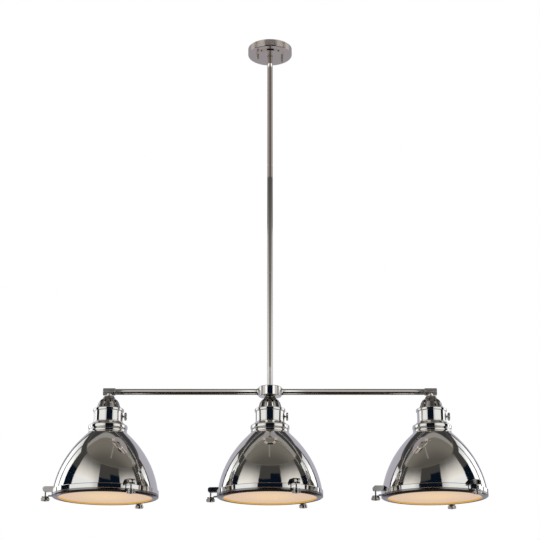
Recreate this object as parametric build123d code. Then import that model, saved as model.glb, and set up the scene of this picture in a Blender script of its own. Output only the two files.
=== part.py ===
from build123d import *
import os
from math import cos, radians, sin

# Linear island pendant: a ceiling canopy with a hang-straight ball swivel, four screwed stem
# rods, a round hub with two arms, and three lamps with bell shades whose lens frames are
# clamped by swing bolts. Millimetres, Z up, origin on the ceiling at the canopy's centre.
# X runs along the arms and -Y is the front.

# ---------------------------------------------------------------- driving dimensions

# Clearances
RUNNING_GAP = 0.05      # shaft in hole, ball in seat
LOOSE_GAP = 0.3         # faces that pass each other when a joint moves
OVERRUN = 1.0           # how far a cutting shape runs past a face

# Ceiling canopy, a stepped pressed cup
CANOPY_DIA = 120.65
CANOPY_DEPTH = 19.5
CANOPY_WALL = 1.2
CANOPY_EDGE = 3.0       # rounding of the outer edge
BOSS_LEDGE = 4.075      # raised centre of the canopy, beyond the middle of a stud
BOSS_DEPTH = 3.0
BOSS_EDGE = 1.4
CANOPY_HOLE_DIA = 15.2  # the swivel neck swings in it

# Crossbar: an outlet-box bar and a stud bar joined by an eyelet
BAR_WIDTH = 19.0
BAR_THICKNESS = 1.8
BAR_OVERHANG = 9.0      # bar beyond the hole or slot centre
BOX_SCREW_SPACING = 88.9
BOX_SLOT_WIDTH = 5.0
BOX_SLOT_LENGTH = 13.0
EYELET_DIA = 12.0
EYELET_BORE = 9.6
EYELET_FLANGE_DIA = 15.0
EYELET_FLANGE = 0.8
STUD_SPACING = 69.85
STUD_DIA = 4.2
STUD_TURN = 16.0        # the stud bar is turned about Z to line up with the outlet box
STUD_HOLE_DIA = 5.0
CAP_NUT_DIA = 8.5
CAP_NUT_LENGTH = 13.0
CAP_NUT_COLLAR = 3.0    # length of the plain collar under the ball
CAP_NUT_COLLAR_DIA = 6.6
CAP_NUT_THREAD = 6.0    # stud engaged in the nut
CAP_NUT_EDGE = 0.6

# Hang-straight swivel
BALL_DIA = 14.0
BALL_ABOVE_PLATE = 4.0  # ball centre above the inside of the canopy's plate
LINER_WALL = 1.0
LINER_HALF_HEIGHT = 2.0
SOCKET_DIA = 23.0
SOCKET_CROWN = 2.5      # metal above the ball
SOCKET_TOP_BORE = 8.0
SOCKET_EDGE = 2.0
NECK_DIA = 9.6
WIRE_BORE = 6.0         # wireway through ball, nipples and hub
NECK_GAP = 1.4          # from the canopy's boss to the stem collar
COLLAR_DIA = 14.5
COLLAR_LENGTH = 19.7
COLLAR_DOME = 2.3

# Stem rods, from the ceiling down
STEM_DIA = 15.0
STEM_WALL = 1.2
STEM_END_PLUG = 12.0    # threaded bush brazed in each rod end
STEM_CHAMFER = 0.4
STEM_LENGTHS = (152.4, 152.4, 304.8, 304.8)
NIPPLE_LENGTH = 20.0
NIPPLE_SHORT = 1.0      # a nipple stops this much short of the next thread

# Hub and arms
HUB_DIA = 59.0
HUB_HEIGHT = 24.5
HUB_EDGE = 2.0
HUB_CAVITY_DIA = 38.0
HUB_WALL = 5.0          # top and bottom plates of the hub
ARM_DIA = 15.3
ARM_WALL = 1.2
ARM_SOCKET = 9.0        # arm seated in the hub's collar
HUB_COLLAR_LENGTH = 3.5
HUB_COLLAR_DIA = 21.0   # widest, where it meets the hub
HUB_COLLAR_LIP = 16.9   # narrowest, at its outer end
HUB_COLLAR_ROOT = 1.0   # its full width starts this far inside the hub's side
HUB_COLLAR_COVE = 0.5   # hollow of its flank
LAMP_SPACING = 408.5
END_FITTING_DIA = 19.0
END_FITTING_LENGTH = 31.0
END_SOCKET = 10.0       # arm seated in the end fitting
END_FOOT_DIA = 23.2
END_FOOT = 2.4
END_FOOT_EDGE = 0.6
END_NECK_INSET = 1.5    # the neck over the foot is narrower than the fitting
END_NECK_ROUND = 1.0
END_EDGE = 0.8
END_WALL = 3.6          # metal at the fitting's blind end

# Vented cap: a cone with a ring of raised ribs over long slots
CAP_TOP_DIA = 26.0
CAP_CONE_DIA = 33.6
CAP_CONE_DEPTH = 7.0
CAP_SHOULDER_DIA = 43.0
CAP_SHOULDER_DEPTH = 10.0
CAP_SHOULDER_ROUND = 2.2
CAP_BELLY_DIA = 51.4
CAP_BELLY_DEPTH = 16.5
CAP_BELLY_ROUND = 6.0
CAP_DIA = 61.0
CAP_DEPTH = 32.4
CAP_TOP_EDGE = 0.8
CAP_WALL = 1.8
CAP_TOP_PLATE = 3.0
CAP_SLOTS = 12
CAP_SLOT_WIDTH = 4.0
CAP_SLOT_FOOT = 3.0     # closed band below the slots
CAP_CORE_INSET = 4.2    # the inner cone behind the slots lies this much inside the ribs
CAP_CORE_WALL = 1.0

# Socket cup
CUP_DIA = 72.8
CUP_WALL = 1.25
CUP_BEAD_PROUD = 2.5    # bead beyond the cup's wall
CUP_BEAD_DEPTH = 8.0
CUP_BEAD_ROUND = 2.4
CUP_LENGTH = 32.9       # top to the shoulder
CUP_STEP = 0.9          # small step at the wall's foot
CUP_STEP_DEPTH = 2.4    # the flare starts this far below the wall's foot
CUP_SHOULDER_PROUD = 8.6
CUP_SHOULDER_RISE = 2.2 # the flare's foot above the ring
CUP_SHOULDER_ROUND = 2.0
CUP_RING_PROUD = 12.8   # lower ring beyond the cup's wall
CUP_RING_ROUND = 4.2
CUP_DEPTH = 54.2
CUP_RING_DEPTH = 10.8
CUP_RING_WALL = 4.6
CUP_RING_TOP = 2.0      # metal over the hollow of the ring

# Fitter sleeve that the socket cup slides up over
SLEEVE_DIA = CUP_DIA - 2 * (CUP_WALL + RUNNING_GAP)
SLEEVE_WALL = 1.4
SLEEVE_DEPTH = 33.0
SLEEVE_EDGE = 1.0
LAMPHOLDER_DIA = 40.0
LAMPHOLDER_NECK_DIA = 28.0
LAMPHOLDER_NECK = 12.0
LAMPHOLDER_DEPTH = 50.0
LAMPHOLDER_SHOULDER = 5.0
LAMPHOLDER_SHOULDER_ROUND = 3.0
LAMPHOLDER_EDGE = 1.5
SCREW_SHELL_DIA = 26.6
SCREW_SHELL_DEPTH = 24.0
LOCKNUT = 6.0           # nipple thread in the lampholder

# Thumb screw on the socket cup, pointing along +X
THUMB_DROP = 19.2       # below the cup's top
THUMB_SHANK_DIA = 4.0
THUMB_KNOB_DIA = 20.5
THUMB_KNOB_THICKNESS = 5.2
THUMB_KNOB_DISH = 1.4
THUMB_STANDOFF = 4.4    # cup wall to knob
THUMB_BOSS_DIA = 11.0
THUMB_BOSS = 1.6
THUMB_BOSS_WALL = 1.2   # boss beyond the shank at its outer end
THUMB_BOSS_ROOT = 0.3   # boss fused this deep into the cup's wall
THUMB_HUB_WALL = 1.6    # web beyond the shank
THUMB_HUB_TAPER = 1.2
THUMB_RIM = 2.6         # thickness of the knob's rim
THUMB_RIM_FLANK = 1.0
THUMB_RIM_INNER_ROUND = 0.8
THUMB_RIM_ROUND = 1.6

# Bell shade
SHADE_WALL = 1.2
COLLAR_RING_DIA = CUP_DIA + 2 * CUP_RING_PROUD - 2.0
COLLAR_RING_DEPTH = 6.8
COLLAR_RING_ROUND = 3.2
COLLAR_RING_FOOT_ROUND = 2.6
COLLAR_RING_WALL = 5.2  # from the ring's outside to the neck hole
BELL_TOP_DIA = COLLAR_RING_DIA + 2.0
BELL_TOP_DEPTH = 8.0    # below the shade's top
BELL_TOP_ANGLE = 38.6   # from the vertical
BELL_TOP_PULL = 8.5
BELL_FOOT_DIA = 259.0
BELL_FOOT_DEPTH = 151.6
BELL_FOOT_ANGLE = 8.5
BELL_FOOT_PULL = 89.9
BAND_LEDGE = 2.5        # band beyond the bell's foot
BAND_STEP = 1.4
BAND_DEPTH = 10.0

# Lens frame and lens
FRAME_HEIGHT = 4.4      # plain wall
FRAME_CHAMFER = 2.4
FRAME_FLANGE = 7.8      # total height of the frame
FRAME_WALL = 7.4
FRAME_TOP_ROUND = 0.4
FRAME_SIDE_ROUND = 0.6
FRAME_RIM = 15.3        # from the frame's outside to its opening
GROOVE_START = 1.4      # groove in the underside, outwards from the seat
GROOVE_FLANK = 0.8
GROOVE_WIDTH = 1.4
GROOVE_DEPTH = 0.8
LENS_SEAT = 2.8         # top of the flange below the frame's top
LENS_THICKNESS = 3.2
LENS_EDGE = 1.0
LIP_ROUND = 1.0

# Swing-bolt latches, three to a shade
LATCHES = 3
BRACKET_WIDTH = 16.0
BRACKET_LENGTH = 23.5   # beyond the band
BRACKET_HEIGHT = 12.5
BRACKET_WEB = 2.2
BRACKET_DROP = 1.5      # bracket's underside below the band's top edge
BRACKET_ROUND = 5.6
BRACKET_FOOT_ROUND = 3.6
BRACKET_LEAN = 1.5      # the end leans out towards its top
BRACKET_ROOT = 12.0     # casting reaches this far inside the bell's foot before it is shaped to it
BRACKET_SLOT_ROOM = 1.0 # slot behind the bolt's eye
PIN_REACH = 16.5        # pin axis beyond the band
PIN_DIA = 3.2
PIN_HEAD = 1.0
PIN_HEAD_DIA = 4.8
PIN_RISE = 5.8          # pin axis above the bracket's underside
BOLT_DIA = 3.6
BOLT_EYE_DIA = 8.0
BOLT_EYE_WIDTH = 4.2
BOLT_END = 1.2          # bolt beyond the nut
BOLT_EDGE = 0.5
NUT_DIA = 22.4
NUT_HEIGHT = 11.0
NUT_NECK_DIA = 17.8
NUT_NECK = 3.4
NUT_NECK_EDGE = 0.6
NUT_SHOULDER = 2.0      # slope from the lobes to the neck
NUT_TAPER = 0.6
NUT_ROUND = 1.6
NUT_LOBES = 6
NUT_FLUTE_DIA = 7.0
NUT_FLUTE_DEPTH = 1.6
LUG_REACH = 9.0         # beyond the lens frame
LUG_WIDTH = 13.0
LUG_THICKNESS = 2.6
LUG_BELOW_TOP = 0.3
LUG_ROOT = 3.0          # lug fused into the frame's wall

# Bulb, an ordinary screw-base lamp
BULB_DIA = 60.0
BULB_LENGTH = 106.0
BULB_BASE_DIA = 26.0
BULB_BASE = 25.0
BULB_NECK_DIA = 30.0
BULB_NECK_FLARE = 4.0   # from the base to the neck
BULB_CONTACT_CONE = 3.0

# Where the latches of each shade sit, turned from the front (-Y) towards +X
LAMPS = {
    "left": (-LAMP_SPACING, 31.0),
    "centre": (0.0, 25.0),
    "right": (LAMP_SPACING, 36.0),
}

# ---------------------------------------------------------------- worked-out heights and radii

CANOPY_R = CANOPY_DIA / 2
BOSS_DIA = STUD_SPACING + 2 * BOSS_LEDGE
CUP_R = CUP_DIA / 2
CUP_BORE_R = CUP_R - CUP_WALL
CUP_RING_R = CUP_R + CUP_RING_PROUD
NECK_HOLE_R = COLLAR_RING_DIA / 2 - COLLAR_RING_WALL
BOSS_Z = -CANOPY_DEPTH - BOSS_DEPTH
PLATE_Z = BOSS_Z + CANOPY_WALL
BALL_Z = PLATE_Z + BALL_ABOVE_PLATE
BALL_R = BALL_DIA / 2
LINER_R = BALL_R + RUNNING_GAP + LINER_WALL
SEAT_R = LINER_R + RUNNING_GAP
COLLAR_TOP_Z = BOSS_Z - NECK_GAP
STEM_TOP_Z = COLLAR_TOP_Z - COLLAR_LENGTH
HUB_TOP_Z = STEM_TOP_Z - sum(STEM_LENGTHS)
HUB_BOTTOM_Z = HUB_TOP_Z - HUB_HEIGHT
ARM_Z = (HUB_TOP_Z + HUB_BOTTOM_Z) / 2
CAP_Z = HUB_BOTTOM_Z
SLEEVE_Z = CAP_Z - CAP_DEPTH
CUP_Z = SLEEVE_Z
SHADE_Z = CUP_Z - CUP_DEPTH
BAND_TOP_Z = SHADE_Z - BELL_FOOT_DEPTH - BAND_STEP
BAND_BOTTOM_Z = BAND_TOP_Z - BAND_DEPTH
BAND_R = BELL_FOOT_DIA / 2 + BAND_LEDGE
FRAME_Z = BAND_BOTTOM_Z - LOOSE_GAP
FRAME_R = BAND_R
LENS_SEAT_R = FRAME_R - FRAME_WALL
PIN_R = BAND_R + PIN_REACH
BRACKET_BOTTOM_Z = BAND_TOP_Z - BRACKET_DROP
PIN_Z = BRACKET_BOTTOM_Z + PIN_RISE
LUG_TOP_Z = FRAME_Z - LUG_BELOW_TOP
NUT_TOP_Z = LUG_TOP_Z - LUG_THICKNESS - LOOSE_GAP
BOLT_END_Z = NUT_TOP_Z - NUT_HEIGHT - BOLT_END
THUMB_Z = CUP_Z - THUMB_DROP


# ---------------------------------------------------------------- helpers

def outline(*corners):
    """Closed face from (x, y) corners, each with an optional third value: its rounding."""
    face = make_face(Polyline(*[corner[:2] for corner in corners], close=True))
    for corner in corners:
        if len(corner) == 3:
            vertex = face.vertices().sort_by_distance((*corner[:2], 0))[0]
            face = fillet(vertex, corner[2])
    return face


def turned(*corners):
    """Solid turned about Z from (radius, height[, rounding]) corners."""
    return revolve(Plane.XZ * outline(*corners), Axis.Z)


def rod(radius, bottom, top, bore=0.0):
    """Round bar between two heights, with an optional bore."""
    face = Circle(radius) - Circle(bore) if bore else Circle(radius)
    return extrude(Plane.XY.offset(bottom) * face, top - bottom)


def cross_rod(radius, start, end):
    """Round bar along Y between two places, about the origin."""
    return extrude(Plane.XZ.offset(-end) * Circle(radius), end - start)


def at_latch(shape, lamp, index):
    """Place a shape drawn on the +X side of the Z axis at one latch of a lamp."""
    x, first = LAMPS[lamp]
    return Pos(x, 0, 0) * Rot(0, 0, first - 90 + index * 360 / LATCHES) * shape


def group(shapes):
    """Separate solids kept together in one node."""
    return Compound(children=[solid for shape in shapes for solid in shape.solids()])


def save(name, shape):
    """Write one node to its STEP file."""
    shape.label = name
    export_step(shape, f"parts/{name}.step")


# ---------------------------------------------------------------- ceiling parts

def stud_places():
    """Centres of the two canopy studs."""
    reach = STUD_SPACING / 2
    turn = radians(STUD_TURN)
    return [(side * reach * cos(turn), side * reach * sin(turn)) for side in (-1, 1)]


def flat_bar(length, top):
    """Strap with round ends lying along X below a height."""
    face = SlotOverall(length, BAR_WIDTH)
    return extrude(Plane.XY.offset(top) * face, -BAR_THICKNESS)


def crossbar():
    """Outlet-box bar along Y, stud bar under it, and the eyelet that joins them."""
    eyelet_hole = rod(EYELET_DIA / 2, -3 * BAR_THICKNESS, BAR_THICKNESS)
    box_bar = Rot(0, 0, 90) * flat_bar(BOX_SCREW_SPACING + 2 * BAR_OVERHANG, 0)
    for side in (-1, 1):
        slot = Rot(0, 0, 90) * SlotOverall(BOX_SLOT_LENGTH, BOX_SLOT_WIDTH)
        slot = Pos(0, side * BOX_SCREW_SPACING / 2, 0) * slot
        box_bar -= extrude(slot, BAR_THICKNESS, both=True)
    stud_bar = Rot(0, 0, STUD_TURN) * flat_bar(STUD_SPACING + 2 * BAR_OVERHANG, -BAR_THICKNESS)
    for x, y in stud_places():
        stud_bar -= Pos(x, y, 0) * rod(STUD_DIA / 2, -3 * BAR_THICKNESS, 0)
    bottom = -2 * BAR_THICKNESS
    eyelet = rod(EYELET_DIA / 2, bottom, 0, EYELET_BORE / 2)
    eyelet += rod(EYELET_FLANGE_DIA / 2, bottom - EYELET_FLANGE, bottom, EYELET_BORE / 2)
    return group([box_bar - eyelet_hole, stud_bar - eyelet_hole, eyelet])


def canopy_studs():
    """Threaded studs from the stud bar down into the cap nuts."""
    stud = rod(STUD_DIA / 2, BOSS_Z - CAP_NUT_THREAD, -BAR_THICKNESS)
    return group([Pos(x, y, 0) * stud for x, y in stud_places()])


def canopy():
    """Stepped cup with a hole for the swivel and two for the studs."""
    boss_r = BOSS_DIA / 2
    wall = CANOPY_WALL
    cup = turned(
        (CANOPY_R - wall, 0),
        (CANOPY_R, 0),
        (CANOPY_R, -CANOPY_DEPTH, CANOPY_EDGE),
        (boss_r, -CANOPY_DEPTH),
        (boss_r, BOSS_Z, BOSS_EDGE),
        (CANOPY_HOLE_DIA / 2, BOSS_Z),
        (CANOPY_HOLE_DIA / 2, PLATE_Z),
        (boss_r - wall, PLATE_Z),
        (boss_r - wall, -CANOPY_DEPTH + wall),
        (CANOPY_R - wall, -CANOPY_DEPTH + wall, CANOPY_EDGE - wall),
    )
    for x, y in stud_places():
        cup -= Pos(x, y, 0) * rod(STUD_HOLE_DIA / 2, BOSS_Z - OVERRUN, PLATE_Z + OVERRUN)
    return cup


def cap_nuts():
    """Ball-ended nuts that hold the canopy up against the ceiling."""
    ball_r = CAP_NUT_DIA / 2
    collar_r = CAP_NUT_COLLAR_DIA / 2
    ball_z = BOSS_Z - CAP_NUT_LENGTH + ball_r
    nut = rod(collar_r, ball_z, BOSS_Z - CAP_NUT_COLLAR / 2)
    nut += turned(
        (0, BOSS_Z),
        (ball_r, BOSS_Z, CAP_NUT_EDGE),
        (ball_r, BOSS_Z - CAP_NUT_COLLAR, CAP_NUT_EDGE),
        (0, BOSS_Z - CAP_NUT_COLLAR),
    )
    nut += Pos(0, 0, ball_z) * Sphere(ball_r)
    nut -= rod(STUD_DIA / 2, BOSS_Z - CAP_NUT_THREAD, BOSS_Z + OVERRUN)
    return group([Pos(x, y, 0) * nut for x, y in stud_places()])


def swivel_socket():
    """Turned seat on the canopy's plate, hollowed to a ball that the liner turns in."""
    crown_z = BALL_Z + SEAT_R + SOCKET_CROWN
    seat = turned(
        (0, PLATE_Z),
        (SOCKET_DIA / 2, PLATE_Z),
        (SOCKET_DIA / 2, crown_z, SOCKET_EDGE),
        (0, crown_z),
    )
    seat -= Pos(0, 0, BALL_Z) * Sphere(SEAT_R)
    return seat - rod(SOCKET_TOP_BORE / 2, BALL_Z, crown_z + OVERRUN)


def swivel_liner():
    """Ring bounded by two spheres about the ball's centre, between ball and seat."""
    band = Box(4 * LINER_R, 4 * LINER_R, 2 * LINER_HALF_HEIGHT)
    ring = (Sphere(LINER_R) & band) - Sphere(BALL_R + RUNNING_GAP)
    return Pos(0, 0, BALL_Z) * ring


def swivel_ball():
    """Ball with a threaded neck that screws into the stem collar."""
    ball = Pos(0, 0, BALL_Z) * Sphere(BALL_R)
    ball += rod(NECK_DIA / 2, COLLAR_TOP_Z - NIPPLE_LENGTH / 2, BALL_Z)
    return ball - rod(WIRE_BORE / 2, COLLAR_TOP_Z - NIPPLE_LENGTH, BALL_Z + BALL_DIA)


# ---------------------------------------------------------------- stem, hub and arms

def stem_collar():
    """Domed collar between the swivel neck and the first rod."""
    return turned(
        (NECK_DIA / 2, COLLAR_TOP_Z),
        (COLLAR_DIA / 2, COLLAR_TOP_Z, COLLAR_DOME),
        (COLLAR_DIA / 2, STEM_TOP_Z),
        (NECK_DIA / 2, STEM_TOP_Z),
    )


def stem(top, length):
    """Rod with a threaded bush at each end."""
    outer = STEM_DIA / 2
    tube = rod(outer, top - length, top, NECK_DIA / 2)
    tube -= rod(outer - STEM_WALL, top - length + STEM_END_PLUG, top - STEM_END_PLUG)
    rims = tube.edges().filter_by(GeomType.CIRCLE).filter_by(lambda e: abs(e.radius - outer) < 0.01)
    return chamfer(rims, STEM_CHAMFER)


def stem_tops():
    """Height of the top of each rod."""
    return [STEM_TOP_Z - sum(STEM_LENGTHS[:index]) for index in range(len(STEM_LENGTHS))]


def threaded_nipples():
    """Hollow threaded nipples that join the rods, the hub and the lamps."""
    seams = stem_tops() + [HUB_TOP_Z]
    half = NIPPLE_LENGTH / 2
    pieces = []
    for seam in seams:
        lower = seam - min(half, HUB_WALL)
        upper = seam + half - NIPPLE_SHORT
        pieces.append(rod(NECK_DIA / 2, lower, upper, WIRE_BORE / 2))
    bottom = SLEEVE_Z - SLEEVE_WALL - LOCKNUT
    for x, _ in LAMPS.values():
        pieces.append(Pos(x, 0, 0) * rod(NECK_DIA / 2, bottom, CAP_Z + HUB_WALL, WIRE_BORE / 2))
    return group(pieces)


def hub():
    """Round hub with a flared collar for each arm and a wireway inside."""
    body = turned(
        (0, HUB_BOTTOM_Z),
        (HUB_DIA / 2, HUB_BOTTOM_Z, HUB_EDGE),
        (HUB_DIA / 2, HUB_TOP_Z, HUB_EDGE),
        (0, HUB_TOP_Z),
    )
    arm_r = ARM_DIA / 2
    start = HUB_DIA / 2 - ARM_SOCKET
    end = HUB_DIA / 2 + HUB_COLLAR_LENGTH
    root = HUB_DIA / 2 - HUB_COLLAR_ROOT
    lip = HUB_COLLAR_LIP / 2
    wide = HUB_COLLAR_DIA / 2
    collar_face = make_face([
        Line((0, start), (wide, start)),
        Line((wide, start), (wide, root)),
        SagittaArc((wide, root), (lip, end), HUB_COLLAR_COVE),
        Line((lip, end), (0, end)),
        Line((0, end), (0, start)),
    ])
    collar = revolve(Plane.XZ * collar_face, Axis.Z)
    for side in (-90, 90):
        body += Pos(0, 0, ARM_Z) * Rot(0, side, 0) * collar
    body -= rod(HUB_CAVITY_DIA / 2, HUB_BOTTOM_Z + HUB_WALL, HUB_TOP_Z - HUB_WALL)
    body -= rod(NECK_DIA / 2, HUB_BOTTOM_Z - OVERRUN, HUB_TOP_Z + OVERRUN)
    sockets = rod(arm_r, -end - OVERRUN, end + OVERRUN) - rod(HUB_DIA, -start, start)
    wireway = rod(arm_r - ARM_WALL, -start, start)
    return body - Pos(0, 0, ARM_Z) * Rot(0, 90, 0) * (sockets + wireway)


def arm(side):
    """Tube from the hub's collar to the end fitting."""
    start = HUB_DIA / 2 - ARM_SOCKET
    end = LAMP_SPACING - END_FITTING_LENGTH / 2 + END_SOCKET
    tube = rod(ARM_DIA / 2, start, end, ARM_DIA / 2 - ARM_WALL)
    return Pos(0, 0, ARM_Z) * Rot(0, 90 * side, 0) * tube


def end_fitting(side):
    """Round fitting on the arm's end with a foot that the lamp screws to."""
    radius = END_FITTING_DIA / 2
    half = END_FITTING_LENGTH / 2
    body = turned(
        (0, -half),
        (radius, -half, END_EDGE),
        (radius, half, END_EDGE),
        (0, half),
    )
    hollow = rod(ARM_DIA / 2, -half - OVERRUN, END_SOCKET - half)
    hollow += rod(ARM_DIA / 2 - ARM_WALL, -half, half - END_WALL)
    foot_z = CAP_Z - ARM_Z
    foot = turned(
        (0, foot_z),
        (END_FOOT_DIA / 2, foot_z),
        (END_FOOT_DIA / 2, foot_z + END_FOOT, END_FOOT_EDGE),
        (radius - END_NECK_INSET, foot_z + END_FOOT, END_NECK_ROUND),
        (radius - END_NECK_INSET, -WIRE_BORE / 2),
        (0, -WIRE_BORE / 2),
    )
    body = Rot(0, 90, 0) * body + foot - Rot(0, 90, 0) * hollow
    body -= rod(NECK_DIA / 2, foot_z - OVERRUN, foot_z + HUB_WALL)
    body -= rod(WIRE_BORE / 2, foot_z, 0)
    turn = Rot(0, 0, 0) if side > 0 else Rot(0, 0, 180)
    return Pos(side * LAMP_SPACING, 0, ARM_Z) * turn * body


# ---------------------------------------------------------------- lamp heads

def vent_cap():
    """Vented cap: ribs with long slots between them, over an inner cone."""
    top = CAP_Z
    bore = NECK_DIA / 2
    outer = [
        (CAP_TOP_DIA / 2, top, CAP_TOP_EDGE),
        (CAP_CONE_DIA / 2, top - CAP_CONE_DEPTH),
        (CAP_SHOULDER_DIA / 2, top - CAP_SHOULDER_DEPTH, CAP_SHOULDER_ROUND),
        (CAP_BELLY_DIA / 2, top - CAP_BELLY_DEPTH, CAP_BELLY_ROUND),
        (CAP_DIA / 2, top - CAP_DEPTH),
    ]
    inner = [
        (CAP_DIA / 2 - CAP_WALL, top - CAP_DEPTH),
        (CAP_BELLY_DIA / 2 - CAP_WALL, top - CAP_BELLY_DEPTH),
        (CAP_CONE_DIA / 2 - CAP_WALL, top - CAP_CONE_DEPTH - CAP_WALL),
        (CAP_CONE_DIA / 2 - CAP_WALL, top - CAP_TOP_PLATE),
        (bore, top - CAP_TOP_PLATE),
        (bore, top),
    ]
    shell = turned(*outer, *inner)
    slot_top = top - CAP_CONE_DEPTH
    slot_bottom = top - CAP_DEPTH + CAP_SLOT_FOOT
    half = CAP_SLOT_WIDTH / 2
    slot_face = make_face([
        Line((-half, slot_bottom), (half, slot_bottom)),
        Line((half, slot_bottom), (half, slot_top - CAP_SLOT_WIDTH)),
        Line((half, slot_top - CAP_SLOT_WIDTH), (0, slot_top)),
        Line((0, slot_top), (-half, slot_top - CAP_SLOT_WIDTH)),
        Line((-half, slot_top - CAP_SLOT_WIDTH), (-half, slot_bottom)),
    ])
    slot = extrude(Plane.XZ * slot_face, CAP_DIA)
    turns = [Rot(0, 0, (index + 0.5) * 360 / CAP_SLOTS) for index in range(CAP_SLOTS)]
    shell -= [turn * slot for turn in turns]
    neck_r = CAP_CONE_DIA / 2 - CAP_WALL
    foot_r = CAP_DIA / 2 - CAP_WALL - CAP_CORE_INSET
    bend_z = top - CAP_CONE_DEPTH - CAP_WALL
    core = turned(
        (neck_r - CAP_CORE_WALL, top - CAP_TOP_PLATE),
        (neck_r, top - CAP_TOP_PLATE),
        (neck_r, bend_z),
        (foot_r, top - CAP_DEPTH),
        (foot_r - CAP_CORE_WALL, top - CAP_DEPTH),
        (neck_r - CAP_CORE_WALL, bend_z),
    )
    return shell + core


def fitter_sleeves():
    """Inner cups that the socket cups slide up over."""
    sleeve = turned(
        (NECK_DIA / 2, SLEEVE_Z),
        (SLEEVE_DIA / 2, SLEEVE_Z, SLEEVE_EDGE),
        (SLEEVE_DIA / 2, SLEEVE_Z - SLEEVE_DEPTH),
        (SLEEVE_DIA / 2 - SLEEVE_WALL, SLEEVE_Z - SLEEVE_DEPTH),
        (SLEEVE_DIA / 2 - SLEEVE_WALL, SLEEVE_Z - SLEEVE_WALL),
        (NECK_DIA / 2, SLEEVE_Z - SLEEVE_WALL),
    )
    return group([Pos(x, 0, 0) * sleeve for x, _ in LAMPS.values()])


def lampholders():
    """Porcelain lampholders screwed to the nipples under the sleeves."""
    top = SLEEVE_Z - SLEEVE_WALL
    holder = turned(
        (0, top),
        (LAMPHOLDER_NECK_DIA / 2, top, LAMPHOLDER_EDGE),
        (LAMPHOLDER_NECK_DIA / 2, top - LAMPHOLDER_NECK),
        (LAMPHOLDER_DIA / 2, top - LAMPHOLDER_NECK - LAMPHOLDER_SHOULDER, LAMPHOLDER_SHOULDER_ROUND),
        (LAMPHOLDER_DIA / 2, top - LAMPHOLDER_DEPTH, LAMPHOLDER_EDGE),
        (SCREW_SHELL_DIA / 2, top - LAMPHOLDER_DEPTH),
        (SCREW_SHELL_DIA / 2, top - LAMPHOLDER_DEPTH + SCREW_SHELL_DEPTH),
        (0, top - LAMPHOLDER_DEPTH + SCREW_SHELL_DEPTH),
    )
    holder -= rod(NECK_DIA / 2, top - LOCKNUT, top + OVERRUN)
    return group([Pos(x, 0, 0) * holder for x, _ in LAMPS.values()])


def bulbs():
    """Screw-base bulbs, the base resting on the holder's centre contact."""
    top = SLEEVE_Z - SLEEVE_WALL - LAMPHOLDER_DEPTH + SCREW_SHELL_DEPTH
    globe_r = BULB_DIA / 2
    globe_z = top - BULB_LENGTH + globe_r
    base_r = BULB_BASE_DIA / 2
    neck_r = BULB_NECK_DIA / 2
    neck_z = top - BULB_BASE - BULB_NECK_FLARE
    cone = BULB_CONTACT_CONE
    profile = make_face([
        Line((0, top), (base_r - cone, top)),
        Line((base_r - cone, top), (base_r, top - cone)),
        Line((base_r, top - cone), (base_r, top - BULB_BASE)),
        Line((base_r, top - BULB_BASE), (neck_r, neck_z)),
        Spline((neck_r, neck_z), (globe_r, globe_z), tangents=[(0.1, -1), (0, -1)]),
        RadiusArc((globe_r, globe_z), (0, globe_z - globe_r), globe_r),
        Line((0, globe_z - globe_r), (0, top)),
    ])
    bulb = revolve(Plane.XZ * profile, Axis.Z)
    return group([Pos(x, 0, 0) * bulb for x, _ in LAMPS.values()])


def socket_cup():
    """Socket cup: beaded top, plain wall and a shoulder out to the lower ring."""
    top = CUP_Z
    bead_r = CUP_R + CUP_BEAD_PROUD
    shoulder_z = top - CUP_LENGTH
    flare_z = shoulder_z - CUP_STEP_DEPTH
    ring_z = top - CUP_DEPTH + CUP_RING_DEPTH
    bottom = top - CUP_DEPTH
    body = turned(
        (CUP_BORE_R, top),
        (bead_r, top, CUP_BEAD_ROUND),
        (bead_r, top - CUP_BEAD_DEPTH, CUP_BEAD_ROUND),
        (CUP_R, top - CUP_BEAD_DEPTH),
        (CUP_R, shoulder_z),
        (CUP_R + CUP_STEP, shoulder_z - CUP_STEP),
        (CUP_R + CUP_STEP, flare_z),
        (CUP_R + CUP_SHOULDER_PROUD, ring_z + CUP_SHOULDER_RISE, CUP_SHOULDER_ROUND),
        (CUP_RING_R, ring_z, CUP_RING_ROUND),
        (CUP_RING_R, bottom, CUP_RING_ROUND),
        (CUP_RING_R - CUP_RING_WALL, bottom),
        (CUP_RING_R - CUP_RING_WALL, ring_z - CUP_RING_TOP),
        (CUP_BORE_R, flare_z),
    )
    boss = turned(
        (0, CUP_BORE_R),
        (THUMB_BOSS_DIA / 2, CUP_BORE_R),
        (THUMB_BOSS_DIA / 2, CUP_R),
        (THUMB_SHANK_DIA / 2 + THUMB_BOSS_WALL, CUP_R + THUMB_BOSS),
        (0, CUP_R + THUMB_BOSS),
    )
    inside = rod(CUP_R - THUMB_BOSS_ROOT, bottom, top)
    body += Pos(0, 0, THUMB_Z) * Rot(0, 90, 0) * boss - inside
    hole = rod(THUMB_SHANK_DIA / 2 + RUNNING_GAP, 0, CUP_DIA)
    return body - Pos(0, 0, THUMB_Z) * Rot(0, 90, 0) * hole


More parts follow.
